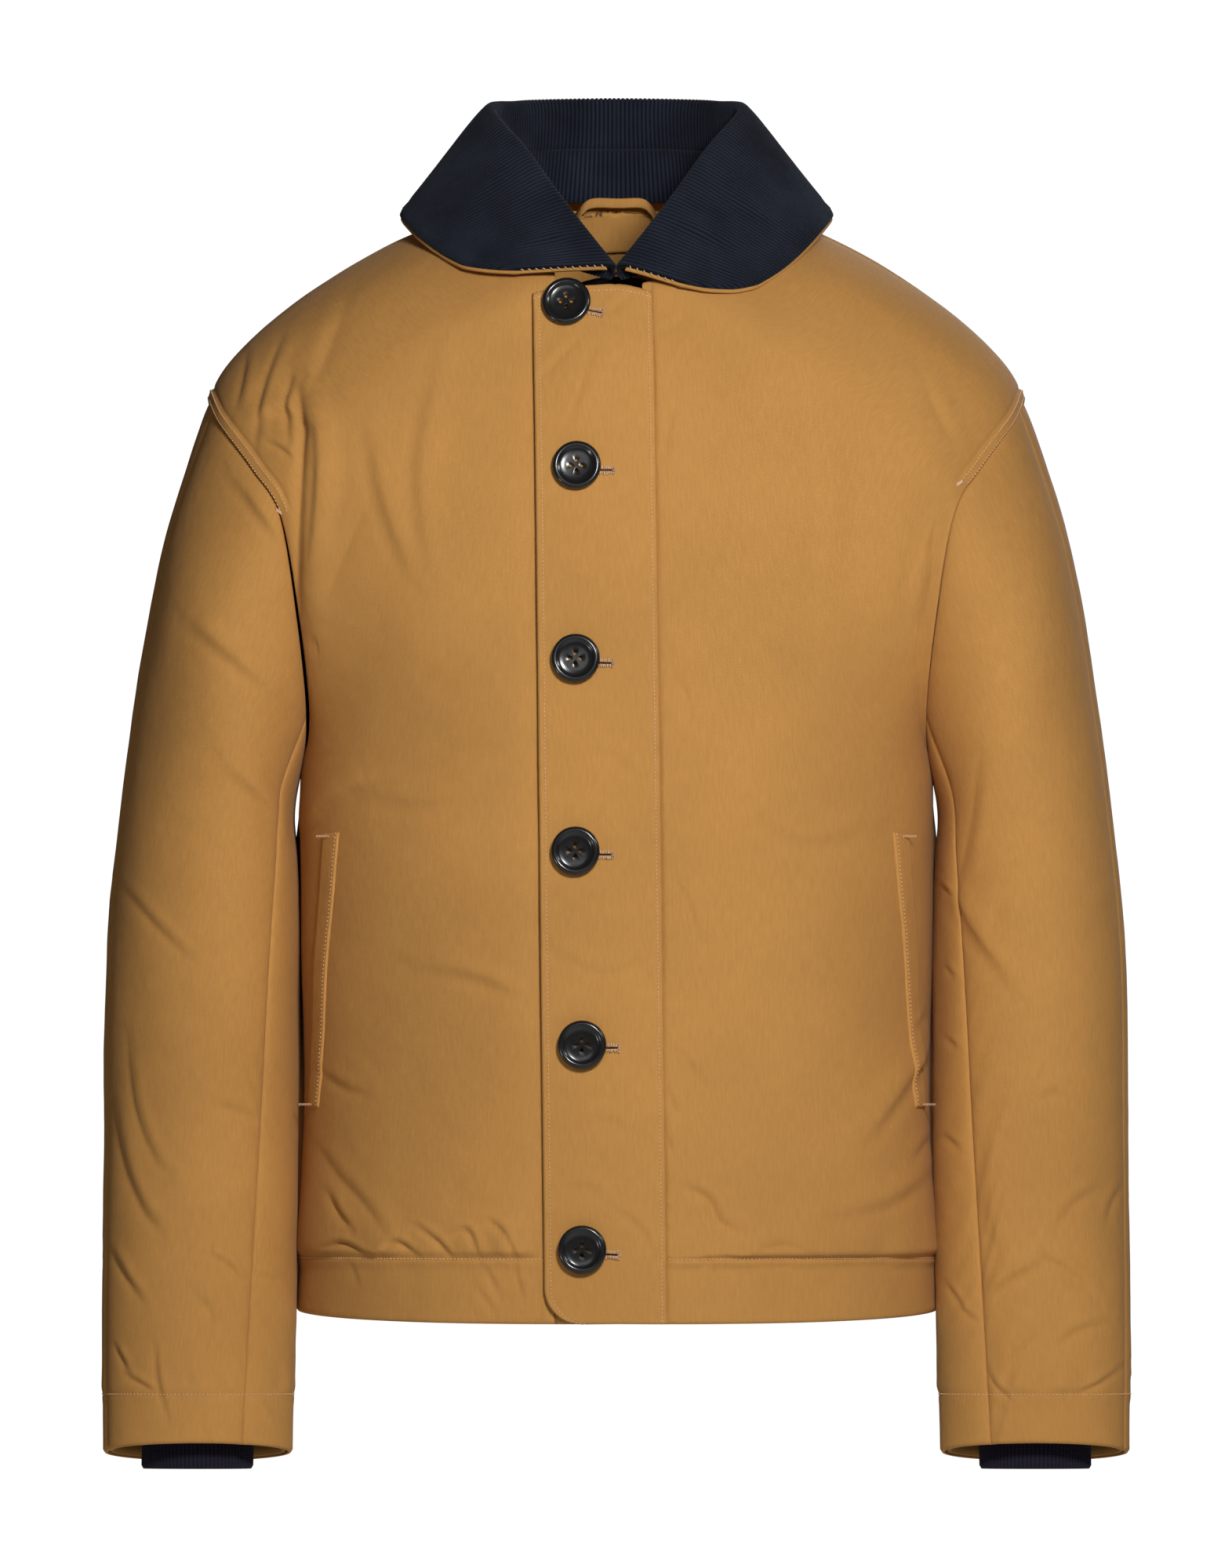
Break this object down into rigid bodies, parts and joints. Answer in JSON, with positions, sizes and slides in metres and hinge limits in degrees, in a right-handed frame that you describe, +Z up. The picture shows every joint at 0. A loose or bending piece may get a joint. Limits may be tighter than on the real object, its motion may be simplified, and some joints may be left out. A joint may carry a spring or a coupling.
{
  "type": "corduroy-collared cotton jacket",
  "caption": "Hip-length cotton jacket with a turned-down corduroy collar, buttoned front placket, slanted side pockets and knitted inner cuffs.",
  "frame": {"origin": "on the centre plane, level with the highest point of the shoulder seams and midway between chest and back", "axes": "+Z up, -Y out of the front of the jacket, +X to the wearer's left"},
  "size_m": [0.6286, 0.2925, 0.8466],
  "materials": {
    "shell": "matte cotton gabardine, tan",
    "facing": "matte cotton, tan",
    "lining": "smooth lining cloth, tan",
    "corduroy": "wide-wale cotton corduroy, navy",
    "rib_knit": "ribbed wool knit, navy",
    "button": "polished black horn",
    "thread": "pale tan sewing thread"
  },
  "bodies": {
    "jacket_body": {"back_panel": "shell", "left_front_panel": "shell", "right_front_panel": "shell", "button_stand": "shell", "front_placket": "shell", "left_pocket_welt": "shell", "right_pocket_welt": "shell", "left_hem_facing": "facing", "right_hem_facing": "facing", "back_hem_facing": "facing", "back_neck_facing": "facing", "under_collar_back": "facing", "left_pocket_bag": "lining", "right_pocket_bag": "lining", "left_front_lining": "lining", "right_front_lining": "lining", "back_lining": "lining", "collar_stand": "corduroy", "collar_inner_face": "corduroy", "collar_fall_back": "corduroy", "button_thread_1": "thread", "button_thread_2": "thread", "button_thread_3": "thread", "button_thread_4": "thread", "button_thread_5": "thread", "button_thread_6": "thread"},
    "left_sleeve": {"left_sleeve_front": "shell", "left_sleeve_back": "shell", "left_sleeve_lining": "lining", "left_cuff_facing": "facing"},
    "left_rib_cuff": {"left_rib_cuff": "rib_knit"},
    "left_collar_point": {"left_collar_wing": "corduroy", "left_under_collar": "facing"},
    "right_sleeve": {"right_sleeve_front": "shell", "right_sleeve_back": "shell", "right_sleeve_lining": "lining", "right_cuff_facing": "facing"},
    "right_rib_cuff": {"right_rib_cuff": "rib_knit"},
    "right_collar_point": {"right_collar_wing": "corduroy", "right_under_collar": "facing"},
    "hanger_loop": {"hanger_loop": "facing"},
    "button_1": {"button_1": "button"},
    "button_2": {"button_2": "button"},
    "button_3": {"button_3": "button"},
    "button_4": {"button_4": "button"},
    "button_5": {"button_5": "button"},
    "button_6": {"button_6": "button"}
  },
  "joints": [
    {"name": "left_sleeve_raise", "type": "hinge", "parent": "jacket_body", "child": "left_sleeve", "pos_m": [0.25, 0, -0.107], "axis": [0, -1, 0], "range_deg": [0, 45]},
    {"name": "left_cuff_push_up", "type": "slide", "parent": "left_sleeve", "child": "left_rib_cuff", "axis": [0, 0, 1], "range_m": [0, 0.03]},
    {"name": "left_collar_point_lift", "type": "hinge", "parent": "jacket_body", "child": "left_collar_point", "pos_m": [0.068, -0.026, 0.063], "axis": [-0.4394, -0.681, -0.5858], "range_deg": [0, 45]},
    {"name": "right_sleeve_raise", "type": "hinge", "parent": "jacket_body", "child": "right_sleeve", "pos_m": [-0.25, 0, -0.107], "axis": [0, 1, 0], "range_deg": [0, 45]},
    {"name": "right_cuff_push_up", "type": "slide", "parent": "right_sleeve", "child": "right_rib_cuff", "axis": [0, 0, 1], "range_m": [0, 0.03]},
    {"name": "right_collar_point_lift", "type": "hinge", "parent": "jacket_body", "child": "right_collar_point", "pos_m": [-0.068, -0.026, 0.063], "axis": [-0.4394, 0.681, 0.5858], "range_deg": [0, 45]},
    {"name": "hanger_loop_flip", "type": "hinge", "parent": "jacket_body", "child": "hanger_loop", "pos_m": [0, 0.0668, 0.005], "axis": [1, 0, 0], "range_deg": [0, 70]},
    {"name": "button_1_twist", "type": "hinge", "parent": "jacket_body", "child": "button_1", "pos_m": [-0.03046, -0.1139, -0.04669], "axis": [-0.1044, -0.949, 0.2975], "range_deg": [-25, 25], "stiffness_Nm_per_rad": 0.0005},
    {"name": "button_2_twist", "type": "hinge", "parent": "jacket_body", "child": "button_2", "pos_m": [-0.02427, -0.13838, -0.1473], "axis": [-0.0606, -0.9853, 0.1595], "range_deg": [-25, 25], "stiffness_Nm_per_rad": 0.0005},
    {"name": "button_3_twist", "type": "hinge", "parent": "jacket_body", "child": "button_3", "pos_m": [-0.02485, -0.15115, -0.26574], "axis": [-0.0801, -0.995, 0.0599], "range_deg": [-25, 25], "stiffness_Nm_per_rad": 0.0005},
    {"name": "button_4_twist", "type": "hinge", "parent": "jacket_body", "child": "button_4", "pos_m": [-0.02492, -0.15438, -0.384], "axis": [-0.0947, -0.9955, -0.0007], "range_deg": [-25, 25], "stiffness_Nm_per_rad": 0.0005},
    {"name": "button_5_twist", "type": "hinge", "parent": "jacket_body", "child": "button_5", "pos_m": [-0.02086, -0.15331, -0.5031], "axis": [-0.0821, -0.9964, -0.022], "range_deg": [-25, 25], "stiffness_Nm_per_rad": 0.0005},
    {"name": "button_6_twist", "type": "hinge", "parent": "jacket_body", "child": "button_6", "pos_m": [-0.02084, -0.15192, -0.62902], "axis": [-0.0765, -0.9971, -0.0056], "range_deg": [-25, 25], "stiffness_Nm_per_rad": 0.0005}
  ]
}
